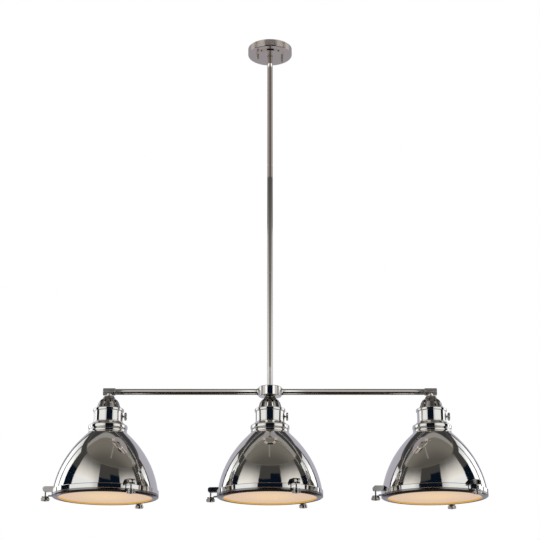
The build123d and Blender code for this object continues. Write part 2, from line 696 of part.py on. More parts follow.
def thumb_screw():
    """Round-rimmed thumb screw that clamps the socket cup to its sleeve."""
    tip = SLEEVE_DIA / 2
    knob_start = CUP_R + THUMB_STANDOFF
    knob_end = knob_start + THUMB_KNOB_THICKNESS
    knob_r = THUMB_KNOB_DIA / 2
    hub_r = THUMB_SHANK_DIA / 2 + THUMB_HUB_WALL
    rim_r = knob_r - THUMB_RIM
    web_r = rim_r - THUMB_RIM_FLANK
    screw = turned(
        (0, tip + RUNNING_GAP),
        (THUMB_SHANK_DIA / 2, tip + RUNNING_GAP),
        (THUMB_SHANK_DIA / 2, knob_start - THUMB_HUB_TAPER),
        (hub_r, knob_start + THUMB_KNOB_DISH),
        (web_r, knob_start + THUMB_KNOB_DISH),
        (rim_r, knob_start, THUMB_RIM_INNER_ROUND),
        (knob_r, knob_start, THUMB_RIM_ROUND),
        (knob_r, knob_end, THUMB_RIM_ROUND),
        (rim_r, knob_end, THUMB_RIM_INNER_ROUND),
        (web_r, knob_end - THUMB_KNOB_DISH),
        (0, knob_end - THUMB_KNOB_DISH),
    )
    return Pos(0, 0, THUMB_Z) * Rot(0, 90, 0) * screw


def bell_curve(inset):
    """Edge of the bell's flank, moved inwards by a wall thickness."""
    down = radians(BELL_TOP_ANGLE)
    foot = radians(BELL_FOOT_ANGLE)
    top = Vector(BELL_TOP_DIA / 2 - inset * cos(down), SHADE_Z - BELL_TOP_DEPTH - inset * sin(down))
    end = Vector(BELL_FOOT_DIA / 2 - inset, SHADE_Z - BELL_FOOT_DEPTH)
    top_pull = top + Vector(sin(down), -cos(down)) * BELL_TOP_PULL
    foot_pull = end - Vector(sin(foot), -cos(foot)) * BELL_FOOT_PULL
    return Bezier(top, top_pull, foot_pull, end)


def shade_outline(inset):
    """Points and curve of the shade's outside, or of its inside at an inset."""
    curve = bell_curve(inset)
    band_r = BAND_R - inset
    step_z = BAND_TOP_Z - inset
    edges = [curve, Line(curve @ 1, (band_r, step_z)), Line((band_r, step_z), (band_r, BAND_BOTTOM_Z))]
    return edges


def shade():
    """Bell shade with a rolled neck ring on top and a plain band at its mouth."""
    outer = shade_outline(0.0)
    inner = shade_outline(SHADE_WALL)
    ring_z = SHADE_Z - COLLAR_RING_DEPTH
    ring_r = COLLAR_RING_DIA / 2
    hole_r = NECK_HOLE_R
    outer_top = outer[0] @ 0
    inner_top = inner[0] @ 0
    face = make_face([
        *outer,
        Line((BAND_R, BAND_BOTTOM_Z), (BAND_R - SHADE_WALL, BAND_BOTTOM_Z)),
        *inner,
        Line(inner_top, (hole_r, inner_top.Y)),
        Line((hole_r, inner_top.Y), (hole_r, SHADE_Z)),
        Line((hole_r, SHADE_Z), (ring_r, SHADE_Z)),
        Line((ring_r, SHADE_Z), (ring_r, ring_z)),
        Line((ring_r, ring_z), outer_top),
    ])
    for height, rounding in ((SHADE_Z, COLLAR_RING_ROUND), (ring_z, COLLAR_RING_FOOT_ROUND)):
        vertex = face.vertices().sort_by_distance((ring_r, height, 0))[0]
        face = fillet(vertex, rounding)
    return revolve(Plane.XZ * face, Axis.Z)


def shade_body():
    """The space inside the shade's outer skin, as a solid."""
    edges = shade_outline(0.0)
    top = edges[0] @ 0
    face = make_face([
        *edges,
        Line((BAND_R, BAND_BOTTOM_Z), (0, BAND_BOTTOM_Z)),
        Line((0, BAND_BOTTOM_Z), (0, top.Y)),
        Line((0, top.Y), top),
    ])
    return revolve(Plane.XZ * face, Axis.Z)


def lens_frame_ring():
    """Ring under the band, with a chamfered foot and a seat for the lens."""
    top = FRAME_Z
    foot = top - FRAME_FLANGE
    opening = FRAME_R - FRAME_RIM
    groove_r = LENS_SEAT_R + GROOVE_START
    groove_z = top - FRAME_HEIGHT - FRAME_CHAMFER
    bed_r = groove_r - GROOVE_FLANK
    return turned(
        (LENS_SEAT_R, top),
        (FRAME_R, top, FRAME_TOP_ROUND),
        (FRAME_R, top - FRAME_HEIGHT, FRAME_SIDE_ROUND),
        (FRAME_R - FRAME_CHAMFER, groove_z + GROOVE_DEPTH),
        (groove_r, groove_z),
        (bed_r, groove_z + GROOVE_DEPTH),
        (bed_r - GROOVE_WIDTH, groove_z + GROOVE_DEPTH),
        (bed_r - GROOVE_WIDTH - GROOVE_FLANK, foot + GROOVE_DEPTH),
        (opening + LIP_ROUND, foot, LIP_ROUND / 2),
        (opening, foot + LIP_ROUND, LIP_ROUND / 2),
        (opening, top - LENS_SEAT),
        (LENS_SEAT_R, top - LENS_SEAT),
    )


def lens_frame(lamp):
    """Lens frame with a lug under each latch."""
    frame = lens_frame_ring()
    reach = LUG_REACH + LUG_ROOT
    lug = Rectangle(reach, LUG_WIDTH)
    lug = fillet(lug.vertices().group_by(Axis.X)[-1], LUG_WIDTH / 4)
    lug = Plane.XY.offset(LUG_TOP_Z) * Pos(FRAME_R - LUG_ROOT + reach / 2, 0) * lug
    lug = extrude(lug, -LUG_THICKNESS)
    frame = Pos(LAMPS[lamp][0], 0, 0) * frame
    for index in range(LATCHES):
        frame += at_latch(lug, lamp, index)
    return frame


def lens():
    """Frosted disc resting on the frame's seat."""
    radius = LENS_SEAT_R - LOOSE_GAP
    bottom = FRAME_Z - LENS_SEAT
    return turned(
        (0, bottom),
        (radius, bottom),
        (radius, bottom + LENS_THICKNESS, LENS_EDGE),
        (0, bottom + LENS_THICKNESS),
    )


# ---------------------------------------------------------------- latches

def bracket():
    """Cast bracket on the shade's foot, slotted from below for the swing bolt."""
    bottom = BRACKET_BOTTOM_Z
    top = bottom + BRACKET_HEIGHT
    end = BAND_R + BRACKET_LENGTH
    start = BELL_FOOT_DIA / 2 - BRACKET_ROOT
    side = outline(
        (start, bottom),
        (end - BRACKET_LEAN, bottom, BRACKET_FOOT_ROUND),
        (end, top, BRACKET_ROUND),
        (start, top),
    )
    block = extrude(Plane.XZ * side, BRACKET_WIDTH / 2, both=True)
    eye_room = BOLT_EYE_DIA / 2 + LOOSE_GAP
    slot_start = PIN_R - eye_room - BRACKET_SLOT_ROOM
    slot_width = BOLT_EYE_WIDTH + 2 * LOOSE_GAP
    slot_side = outline(
        (slot_start, bottom - OVERRUN),
        (end + OVERRUN, bottom - OVERRUN),
        (end + OVERRUN, top - BRACKET_WEB),
        (slot_start, top - BRACKET_WEB),
    )
    slot = extrude(Plane.XZ * slot_side, slot_width / 2, both=True)
    hole = Pos(PIN_R, 0, PIN_Z) * cross_rod(PIN_DIA / 2, -BRACKET_WIDTH, BRACKET_WIDTH)
    return block - slot - hole


def latch_brackets():
    """All brackets, their inner ends shaped to the shades they are fixed to."""
    piece = bracket() - shade_body()
    return group([at_latch(piece, lamp, index) for lamp in LAMPS for index in range(LATCHES)])


def latch_pins():
    """Headed pins through the brackets, on which the bolts swing."""
    half = BRACKET_WIDTH / 2
    pin = cross_rod(PIN_DIA / 2, -half, half)
    for side in (-1, 1):
        start, end = sorted((side * half, side * (half + PIN_HEAD)))
        pin += cross_rod(PIN_HEAD_DIA / 2, start, end)
    pin = Pos(PIN_R, 0, PIN_Z) * pin
    return group([at_latch(pin, lamp, index) for lamp in LAMPS for index in range(LATCHES)])


def swing_bolt():
    """Bolt with an eye that turns on the latch pin."""
    half = BOLT_EYE_WIDTH / 2
    bolt = Pos(PIN_R, 0, PIN_Z) * cross_rod(BOLT_EYE_DIA / 2, -half, half)
    shank = turned(
        (0, BOLT_END_Z),
        (BOLT_DIA / 2, BOLT_END_Z, BOLT_EDGE),
        (BOLT_DIA / 2, PIN_Z),
        (0, PIN_Z),
    )
    bolt += Pos(PIN_R, 0, 0) * shank
    hole = cross_rod(PIN_DIA / 2 + RUNNING_GAP, -half - OVERRUN, half + OVERRUN)
    return bolt - Pos(PIN_R, 0, PIN_Z) * hole


def thumb_nut():
    """Lobed thumb nut, wide enough to catch the lens frame's lug."""
    top = NUT_TOP_Z
    bottom = top - NUT_HEIGHT
    radius = NUT_DIA / 2
    nut = turned(
        (0, bottom),
        (radius - NUT_TAPER, bottom, NUT_ROUND),
        (radius, top - NUT_NECK - NUT_SHOULDER, NUT_ROUND),
        (NUT_NECK_DIA / 2, top - NUT_NECK),
        (NUT_NECK_DIA / 2, top, NUT_NECK_EDGE),
        (0, top),
    )
    flute_r = NUT_FLUTE_DIA / 2
    flute = Pos(radius + flute_r - NUT_FLUTE_DEPTH, 0, 0) * rod(flute_r, bottom - OVERRUN, top - NUT_NECK)
    nut -= [Rot(0, 0, index * 360 / NUT_LOBES) * flute for index in range(NUT_LOBES)]
    nut -= rod(BOLT_DIA / 2 + RUNNING_GAP, bottom - OVERRUN, top + OVERRUN)
    return Pos(PIN_R, 0, 0) * nut


# ---------------------------------------------------------------- the nodes

def main():
    """Build every node and write it."""
    os.makedirs("parts", exist_ok=True)
    save("crossbar", crossbar())
    save("canopy_studs", canopy_studs())
    save("canopy", canopy())
    save("cap_nuts", cap_nuts())
    save("swivel_socket", swivel_socket())
    save("swivel_liner", swivel_liner())
    save("swivel_ball", swivel_ball())
    save("stem_collar", stem_collar())
    for number, (top, length) in enumerate(zip(stem_tops(), STEM_LENGTHS), start=1):
        save(f"stem_{number}", stem(top, length))
    save("threaded_nipples", threaded_nipples())
    save("hub", hub())
    for name, side in (("left", -1), ("right", 1)):
        save(f"arm_{name}", arm(side))
        save(f"end_fitting_{name}", end_fitting(side))
    save("fitter_sleeves", fitter_sleeves())
    save("lampholders", lampholders())
    save("bulbs", bulbs())
    save("latch_brackets", latch_brackets())
    save("latch_pins", latch_pins())
    heads = {
        "vent_cap": vent_cap(),
        "socket_cup": socket_cup(),
        "thumb_screw": thumb_screw(),
        "shade": shade(),
        "lens": lens(),
    }
    latch_parts = {"swing_bolt": swing_bolt(), "thumb_nut": thumb_nut()}
    for lamp, (x, _) in LAMPS.items():
        for name, shape in heads.items():
            save(f"{name}_{lamp}", Pos(x, 0, 0) * shape)
        save(f"lens_frame_{lamp}", lens_frame(lamp))
        for name, shape in latch_parts.items():
            for index in range(LATCHES):
                save(f"{name}_{lamp}_{index + 1}", at_latch(shape, lamp, index))


main()
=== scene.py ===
"""Looks of the linear island pendant: studio, camera, materials and fine pieces.

Everything is in metres in the part's frame: Z up, the ceiling at z = 0, the arms along X and the
front at -Y. The metal is polished nickel, so most of its look is the studio that it mirrors.
"""

from math import pi, radians

import bpy
import numpy as np
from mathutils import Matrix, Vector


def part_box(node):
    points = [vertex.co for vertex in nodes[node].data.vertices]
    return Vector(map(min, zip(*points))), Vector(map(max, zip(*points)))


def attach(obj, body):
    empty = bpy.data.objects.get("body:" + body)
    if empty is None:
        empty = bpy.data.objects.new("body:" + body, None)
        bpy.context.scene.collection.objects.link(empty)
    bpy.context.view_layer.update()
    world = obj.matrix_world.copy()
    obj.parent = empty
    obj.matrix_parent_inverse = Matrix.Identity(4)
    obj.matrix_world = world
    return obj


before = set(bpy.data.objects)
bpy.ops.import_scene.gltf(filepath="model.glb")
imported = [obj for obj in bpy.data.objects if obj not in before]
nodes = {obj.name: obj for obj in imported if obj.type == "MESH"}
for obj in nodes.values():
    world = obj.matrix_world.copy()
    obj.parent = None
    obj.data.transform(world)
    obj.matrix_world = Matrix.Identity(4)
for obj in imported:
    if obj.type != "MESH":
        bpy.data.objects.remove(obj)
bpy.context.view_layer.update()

LAMPS = ("left", "centre", "right")

# ---------------------------------------------------------------- camera and studio sizes

CAMERA_DISTANCE = 3.257     # in front of the stem
CAMERA_HEIGHT = -1.7135
CAMERA_TILT = 18.18         # degrees upwards
CAMERA_LENS = 87.2          # mm, on a 36 mm sensor

TENT_RADIUS = 1.45          # the cards stand round the lamps at this distance
TENT_TOP = 0.42
TENT_BOTTOM = -2.7
TENT_FOOT = -1.62           # a dark card under the lamps
TENT_FOOT_RADIUS = 1.30
CARD_THICKNESS = 0.01
AXIS_HOLE = 1e-4            # a round card's hole on its axis, too small to see
HIGH_CARD_RADIUS = 0.20     # a round card about the ceiling plate, well clear of it
HIGH_CARD_LOW = -0.30
HIGH_CARD_TOP = 0.16
ARM_CARD_AHEAD = 0.080      # narrow cards in front of the arms
ARM_CARD_LOW = -0.006       # from the arm's axis
ARM_CARD_TOP = 0.085
ARM_CARD_START = 0.036
ARM_CARD_END = 0.385

ARM_Z = sum(corner[2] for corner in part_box("arm_left")) / 2

# The cards on the tent's wall: turns in degrees from the front, heights from the ceiling. Of two
# heights the first is where a change starts and the second where it is complete.
PANEL_TURNS = (25.5, 76.5)      # a white card on each side of the front
PANEL_BRIGHTER = (-0.58, -0.68)
GAP_BLACK = (-0.40, -0.46)      # the gaps between the cards are brown above and black below
BLOCK_TURNS = (1.0, 24.0)       # a black card right of the front
BLOCK_HEIGHTS = (-0.12, -0.20)
FLANK_TURNS = (95.0, 127.0)     # a white card beside the lamps, with a dark seam in it
FLANK_SEAM = (107.0, 110.0)
FLANK_HEIGHTS = (0.02, -0.04)
BACK_TURNS = (131.5, 133.0)     # grey behind the lamps
BACK_HEIGHTS = (0.30, 0.20)
LID_SHADE = (0.34, 0.40)        # the wall takes the ceiling's colour

# The same for the round card about the ceiling plate
STRIP_TURNS = (-24.0, 30.0)     # a black strip in front
STRIP_HEIGHTS = (0.062, 0.050)
GLEAM_HEIGHTS = (0.044, 0.064)  # a bright line
HIGH_GAP_TURNS = (60.0, 74.0)
HIGH_BACK_TURNS = (96.0, 104.0)

# What the metal mirrors, as light in linear colour
CARD_WHITE = (0.93, 0.965, 1.0)
CARD_GREY = (0.50, 0.50, 0.58)
CARD_BLACK = (0.003, 0.007, 0.016)
CEILING_BROWN = (0.150, 0.140, 0.122)
GAP_BROWN = (0.060, 0.058, 0.054)
PANEL_WARM = (1.0, 0.985, 0.955)
GLEAM_WHITE = (1.4, 1.4, 1.45)
BAND_DARK = (0.26, 0.225, 0.205)
BAND_PALE = (0.74, 0.66, 0.61)
HIGH_BACK_GREY = (0.37, 0.35, 0.385)


# ---------------------------------------------------------------- node helpers

class Tree:
    """Short calls for building one node tree."""

    def __init__(self, tree):
        self.tree = tree

    def add(self, kind, inputs=None, **settings):
        """A node with its settings and inputs, each input a value or another node's output."""
        node = self.tree.nodes.new(kind)
        for key, value in settings.items():
            setattr(node, key, value)
        for key, value in (inputs or {}).items():
            self.set(node.inputs[key], value)
        return node

    def set(self, socket, value):
        """Give an input a value or link it."""
        if isinstance(value, bpy.types.NodeSocket):
            self.tree.links.new(value, socket)
        else:
            socket.default_value = value

    def math(self, operation, first, second=0.0, clamp=False):
        """One Math node's result."""
        node = self.add("ShaderNodeMath", operation=operation, use_clamp=clamp)
        self.set(node.inputs[0], first)
        self.set(node.inputs[1], second)
        return node.outputs[0]

    def step(self, value, start, end, low=0.0, high=1.0):
        """Smooth change from low at start to high at end; start may be above end."""
        node = self.add("ShaderNodeMapRange", interpolation_type="SMOOTHSTEP")
        if start > end:
            start, end, low, high = end, start, high, low
        for key, number in (("From Min", start), ("From Max", end), ("To Min", low), ("To Max", high)):
            node.inputs[key].default_value = number
        self.set(node.inputs["Value"], value)
        return node.outputs["Result"]

    def within(self, value, low, high, soft):
        """1 between low and high, 0 outside, with soft edges."""
        rise = self.step(value, low - soft, low + soft)
        fall = self.step(value, high + soft, high - soft)
        return self.math("MULTIPLY", rise, fall)

    def mix(self, factor, first, second):
        """Blend of two colours."""
        node = self.add("ShaderNodeMix", data_type="RGBA")
        self.set(node.inputs["Factor"], factor)
        for key, value in (("A", first), ("B", second)):
            socket = [s for s in node.inputs if s.name == key and s.type == "RGBA"][0]
            if isinstance(value, tuple) and len(value) == 3:
                value = (*value, 1.0)
            self.set(socket, value)
        return [s for s in node.outputs if s.type == "RGBA"][0]


    def dimmed(self, colour, factor):
        """A constant colour times a factor."""
        node = self.add("ShaderNodeVectorMath", operation="SCALE")
        node.inputs[0].default_value = colour
        self.set(node.inputs["Scale"], factor)
        return node.outputs[0]

    def shines(self, colour):
        """End a material that only gives off this light."""
        glowing = self.add("ShaderNodeEmission", {"Color": colour})
        self.add("ShaderNodeOutputMaterial", {"Surface": glowing.outputs[0]})


def new_material(name):
    """An empty node material and its tree."""
    material = bpy.data.materials.new(name)
    material.use_nodes = True
    material.node_tree.nodes.clear()
    return material, Tree(material.node_tree)


def object_axes(tree):
    """The surface's x, y and z in metres."""
    place = tree.add("ShaderNodeTexCoord").outputs["Object"]
    split = tree.add("ShaderNodeSeparateXYZ", {"Vector": place})
    return place, split.outputs


def about_stem(tree):
    """The surface's turn about Z in degrees, 0 in front and more to the right, and its height."""
    _, axis = object_axes(tree)
    forward = tree.math("MULTIPLY", axis[1], -1.0)
    return tree.math("DIVIDE", tree.math("ARCTAN2", axis[0], forward), radians(1)), axis[2]


# ---------------------------------------------------------------- mesh helper

def turned(name, profile, segments=192, centre=(0.0, 0.0)):
    """Closed ring turned about a vertical axis.

    A point (r, z) of the profile becomes (cx + r cos a, cy + r sin a, z) for each angle a; the
    profile runs so that its outside is on its right when seen with r to the right and z up.
    """
    profile = np.asarray(profile, float)
    angles = np.arange(segments) * 2 * pi / segments
    count = len(profile)
    x = centre[0] + profile[None, :, 0] * np.cos(angles)[:, None]
    y = centre[1] + profile[None, :, 0] * np.sin(angles)[:, None]
    z = np.broadcast_to(profile[None, :, 1], x.shape)
    points = np.stack([x, y, z], axis=-1).reshape(-1, 3)
    ring = np.arange(segments)[:, None] * count
    after = (np.arange(segments)[:, None] + 1) % segments * count
    here = np.arange(count)[None, :]
    there = (here + 1) % count
    faces = np.stack([ring + here, ring + there, after + there, after + here], axis=-1).reshape(-1, 4)
    mesh = bpy.data.meshes.new(name)
    mesh.from_pydata(points.tolist(), [], faces.tolist())
    mesh.shade_smooth()
    piece = bpy.data.objects.new(name, mesh)
    bpy.context.scene.collection.objects.link(piece)
    return piece


def paint(piece, material):
    """Give a piece one material."""
    piece.data.materials.clear()
    piece.data.materials.append(material)


# ---------------------------------------------------------------- the light tent

def tent_material():
    """Cards round the lamps: two white ones in front, two beside, grey behind, dark gaps."""
    material, tree = new_material("tent")
    side, z = about_stem(tree)
    turn = tree.math("ABSOLUTE", side)

    block = tree.math("MULTIPLY", tree.within(side, *BLOCK_TURNS, 0.8), tree.step(z, *BLOCK_HEIGHTS))
    black = tree.math("MAXIMUM", tree.step(z, *GAP_BLACK), block)
    colour = tree.mix(black, GAP_BROWN, CARD_BLACK)

    glow = tree.step(z, 0.30, -0.95, 0.16, 1.25)
    glow = tree.math("MULTIPLY", glow, tree.step(turn, 14.0, 52.0, 0.55, 1.0))
    glow = tree.math("MULTIPLY", glow, tree.step(turn, 100.0, 66.0, 0.6, 1.0))
    high = tree.dimmed(PANEL_WARM, glow)
    low = tree.dimmed(CARD_WHITE, tree.step(turn, 24.0, 42.0, 0.66, 1.05))
    panel = tree.mix(tree.step(z, *PANEL_BRIGHTER), high, low)
    colour = tree.mix(tree.within(turn, *PANEL_TURNS, 0.5), colour, panel)

    flank = tree.dimmed(CARD_WHITE, tree.step(z, -0.05, -0.6, 0.9, 1.5))
    beside = tree.math("MULTIPLY", tree.within(turn, *FLANK_TURNS, 0.6), tree.step(z, *FLANK_HEIGHTS))
    seam = tree.within(turn, *FLANK_SEAM, 0.6)
    beside = tree.math("MULTIPLY", beside, tree.math("SUBTRACT", 1.0, seam))
    colour = tree.mix(beside, colour, flank)

    behind = tree.math("MULTIPLY", tree.step(turn, *BACK_TURNS), tree.step(z, *BACK_HEIGHTS))
    colour = tree.mix(behind, colour, CARD_GREY)
    tree.shines(tree.mix(tree.step(z, *LID_SHADE), colour, CEILING_BROWN))
    return material


def tent_ceiling_material():
    """Brown-grey in front, a light bar over the lamps, dark behind it."""
    material, tree = new_material("tent_ceiling")
    _, axis = object_axes(tree)
    x, y = axis[0], axis[1]
    colour = tree.mix(tree.step(y, -1.2, -0.2), (0.105, 0.100, 0.088), (0.20, 0.19, 0.17))
    boom = tree.math("MULTIPLY", tree.within(x, -0.07, 0.0, 0.012), tree.within(y, -0.95, -0.28, 0.03))
    colour = tree.mix(tree.math("MULTIPLY", boom, 0.6), colour, (0.36, 0.35, 0.33))
    colour = tree.mix(tree.within(y, 0.02, 0.26, 0.03), colour, (0.34, 0.33, 0.32))
    colour = tree.mix(tree.step(y, 0.25, 0.32), colour, (0.05, 0.052, 0.058))
    tree.shines(colour)
    return material


def tent_foot_material():
    """Dark brown, a little paler towards the middle."""
    material, tree = new_material("tent_foot")
    _, axis = object_axes(tree)
    colour = tree.mix(tree.step(axis[1], -1.0, 0.2), (0.022, 0.016, 0.012), (0.040, 0.030, 0.022))
    tree.shines(colour)
    return material


def high_card_material():
    """Warm grey bands with a dark strip in front, dark gaps beside, a bright line, grey behind."""
    material, tree = new_material("high_card")
    side, z = about_stem(tree)
    turn = tree.math("ABSOLUTE", side)
    bands = tree.add("ShaderNodeTexNoise", {"W": side, "Scale": 0.05, "Detail": 2.0}, noise_dimensions="1D")
    colour = tree.mix(bands.outputs["Fac"], BAND_DARK, BAND_PALE)
    colour = tree.mix(tree.within(turn, *HIGH_GAP_TURNS, 2.0), colour, GAP_BROWN)
    colour = tree.mix(tree.within(z, *GLEAM_HEIGHTS, 0.005), colour, GLEAM_WHITE)
    strip = tree.math("MULTIPLY", tree.step(z, *STRIP_HEIGHTS), tree.within(side, *STRIP_TURNS, 4.0))
    colour = tree.mix(strip, colour, CARD_BLACK)
    colour = tree.mix(tree.step(turn, *HIGH_BACK_TURNS), colour, HIGH_BACK_GREY)
    tree.shines(colour)
    return material


def arm_card_material():
    """Plain pale card, a little brighter towards its top."""
    material, tree = new_material("arm_card")
    _, axis = object_axes(tree)
    colour = tree.mix(tree.step(axis[2], ARM_Z + ARM_CARD_LOW, ARM_Z + ARM_CARD_TOP), (0.56, 0.54, 0.53),
                      (0.84, 0.82, 0.83))
    colour = tree.mix(tree.step(tree.math("ABSOLUTE", axis[0]), 0.10, 0.05), colour, (1.3, 1.34, 1.4))
    tree.shines(colour)
    return material


def only_mirrored(card):
    """A card that only mirror-like surfaces see."""
    card.visible_camera = False
    card.visible_diffuse = False
    card.visible_shadow = False
    card.visible_transmission = False


def round_card(name, radii, heights, material, segments=128):
    """Flat ring or upright band about the stem, between two radii and two heights."""
    (inner, outer), (low, top) = radii, heights
    card = turned(name, [(inner, low), (outer, low), (outer, top), (inner, top)], segments)
    paint(card, material)
    only_mirrored(card)


def upright_card(name, ends, y, heights, material):
    """Flat card that stands across Y, between two x and two z."""
    corners = [(x, y, z) for x, z in zip((*ends, *ends[::-1]), np.repeat(heights, 2))]
    mesh = bpy.data.meshes.new(name)
    mesh.from_pydata(corners, [], [(0, 1, 2, 3)])
    card = bpy.data.objects.new(name, mesh)
    bpy.context.scene.collection.objects.link(card)
    paint(card, material)
    only_mirrored(card)


def build_tent():
    """The tent's wall, ceiling and foot, and the smaller cards."""
    round_card("tent_wall", (TENT_RADIUS, TENT_RADIUS + CARD_THICKNESS), (TENT_BOTTOM, TENT_TOP),
               tent_material())
    round_card("tent_lid", (AXIS_HOLE, TENT_RADIUS), (TENT_TOP, TENT_TOP + CARD_THICKNESS),
               tent_ceiling_material())
    round_card("tent_foot", (AXIS_HOLE, TENT_FOOT_RADIUS), (TENT_FOOT - CARD_THICKNESS, TENT_FOOT),
               tent_foot_material())
    round_card("high_card", (HIGH_CARD_RADIUS, HIGH_CARD_RADIUS + CARD_THICKNESS),
               (HIGH_CARD_LOW, HIGH_CARD_TOP), high_card_material(), 96)
    pale = arm_card_material()
    for side, name in ((-1, "left"), (1, "right")):
        upright_card(f"arm_card_{name}", (side * ARM_CARD_START, side * ARM_CARD_END), -ARM_CARD_AHEAD,
                     (ARM_Z + ARM_CARD_LOW, ARM_Z + ARM_CARD_TOP), pale)


def build_world():
    """Plain pale light on the object, and a white background for camera, metal and glass."""
    world = bpy.data.worlds.new("studio")
    world.use_nodes = True
    world.node_tree.nodes.clear()
    tree = Tree(world.node_tree)
    path = tree.add("ShaderNodeLightPath")
    seen = tree.math("MAXIMUM", path.outputs["Is Camera Ray"], path.outputs["Is Glossy Ray"])
    seen = tree.math("MAXIMUM", seen, path.outputs["Is Transmission Ray"])
    light = tree.add("ShaderNodeBackground", {"Color": (0.95, 0.97, 1.0, 1.0), "Strength": 0.7})
    white = tree.add("ShaderNodeBackground", {"Color": (1.0, 1.0, 1.0, 1.0), "Strength": 1.0})
    both = tree.add("ShaderNodeMixShader", {0: seen, 1: light.outputs[0], 2: white.outputs[0]})
    tree.add("ShaderNodeOutputWorld", {"Surface": both.outputs[0]})
    bpy.context.scene.world = world


def build_lamp():
    """One broad soft lamp up on the left."""
    data = bpy.data.lights.new("softbox", "AREA")
    data.shape = "RECTANGLE"
    data.size = 1.6
    data.size_y = 1.6
    data.energy = 22.0
    lamp = bpy.data.objects.new("softbox", data)
    lamp.location = (-2.2, -2.6, 0.6)
    lamp.rotation_euler = (radians(60), 0.0, radians(-40))
    lamp.visible_glossy = False
    bpy.context.scene.collection.objects.link(lamp)


def build_camera():
    """Camera low in front, tilted up at the lamp."""
    data = bpy.data.cameras.new("camera")
    data.lens = CAMERA_LENS
    data.sensor_width = 36.0
    camera = bpy.data.objects.new("camera", data)
    camera.location = (0.0, -CAMERA_DISTANCE, CAMERA_HEIGHT)
    camera.rotation_euler = (radians(90 + CAMERA_TILT), 0.0, 0.0)
    bpy.context.scene.collection.objects.link(camera)
    bpy.context.scene.camera = camera
    bpy.context.scene.view_settings.view_transform = "Standard"


# ---------------------------------------------------------------- materials

def polish_group():
    """Fine polishing marks: a roughness factor and a bump, for a stretch given per axis."""
    group = bpy.data.node_groups.new("PolishMarks", "ShaderNodeTree")
    face = group.interface
    face.new_socket("Stretch", in_out="INPUT", socket_type="NodeSocketVector")
    face.new_socket("Depth", in_out="INPUT", socket_type="NodeSocketFloat")
    face.new_socket("Factor", in_out="OUTPUT", socket_type="NodeSocketFloat")
    face.new_socket("Normal", in_out="OUTPUT", socket_type="NodeSocketVector")
    tree = Tree(group)
    given = tree.add("NodeGroupInput").outputs
    place = tree.add("ShaderNodeTexCoord").outputs["Object"]
    scaled = tree.add("ShaderNodeVectorMath", operation="MULTIPLY")
    tree.set(scaled.inputs[0], place)
    tree.set(scaled.inputs[1], given["Stretch"])
    marks = tree.add("ShaderNodeTexNoise", {"Vector": scaled.outputs[0], "Scale": 1.0, "Detail": 3.0})
    cloud = tree.add("ShaderNodeTexNoise", {"Vector": place, "Scale": 9.0, "Detail": 2.0})
    factor = tree.math("MULTIPLY", marks.outputs["Fac"], cloud.outputs["Fac"])
    factor = tree.math("MULTIPLY", factor, 2.2, clamp=True)
    bump = tree.add("ShaderNodeBump", {"Strength": given["Depth"], "Distance": 0.0002,
                                       "Height": marks.outputs["Fac"]})
    result = tree.add("NodeGroupOutput")
    tree.set(result.inputs["Factor"], factor)
    tree.set(result.inputs["Normal"], bump.outputs["Normal"])
    return group


POLISH = polish_group()


def metal(name, colour, worn, rough, stretch, depth, spread=None, threaded=None):
    """Metal whose colour and roughness vary with its polishing marks.

    Where marks all run one way, spread says across them: "arm" is along X, "plate" is up the wall
    and out over the face of a round plate, and reflections are drawn out that way. threaded gives
    the heights between which the surface has a screw thread.
    """
    material, tree = new_material(name)
    marks = tree.add("ShaderNodeGroup", node_tree=POLISH)
    marks.inputs["Stretch"].default_value = stretch
    marks.inputs["Depth"].default_value = depth
    tint = tree.mix(marks.outputs["Factor"], colour, worn)
    roughness = tree.step(marks.outputs["Factor"], 0.0, 1.0, rough[0], rough[1])
    surface = tree.add("ShaderNodeBsdfPrincipled", {
        "Base Color": tint, "Metallic": 1.0, "Roughness": roughness, "Normal": marks.outputs["Normal"]})
    if threaded:
        place, axis = object_axes(tree)
        thread = tree.add("ShaderNodeTexWave", {"Vector": place, "Scale": WAVE_PERIOD / THREAD_PITCH},
                          bands_direction="Z")
        cut = tree.math("MULTIPLY", thread.outputs["Fac"], tree.within(axis[2], *threaded, 1e-4))
        ridges = tree.add("ShaderNodeBump", {"Strength": 1.0, "Distance": THREAD_DEPTH, "Height": cut,
                                             "Normal": marks.outputs["Normal"]})
        tree.set(surface.inputs["Normal"], ridges.outputs["Normal"])
    if spread:
        _, axis = object_axes(tree)
        if spread == "plate":
            smoother = tree.step(axis[2], PLATE_RIM - 0.001, PLATE_RIM + 0.001, 0.18)
            tree.set(surface.inputs["Roughness"], tree.math("MULTIPLY", roughness, smoother))
        across = {"arm": {"X": 1.0}, "plate": {"X": axis[0], "Y": axis[1], "Z": 0.002}}[spread]
        surface.inputs["Anisotropic"].default_value = 0.95
        tree.set(surface.inputs["Tangent"], tree.add("ShaderNodeCombineXYZ", across).outputs[0])
    tree.add("ShaderNodeOutputMaterial", {"Surface": surface.outputs[0]})
    return material


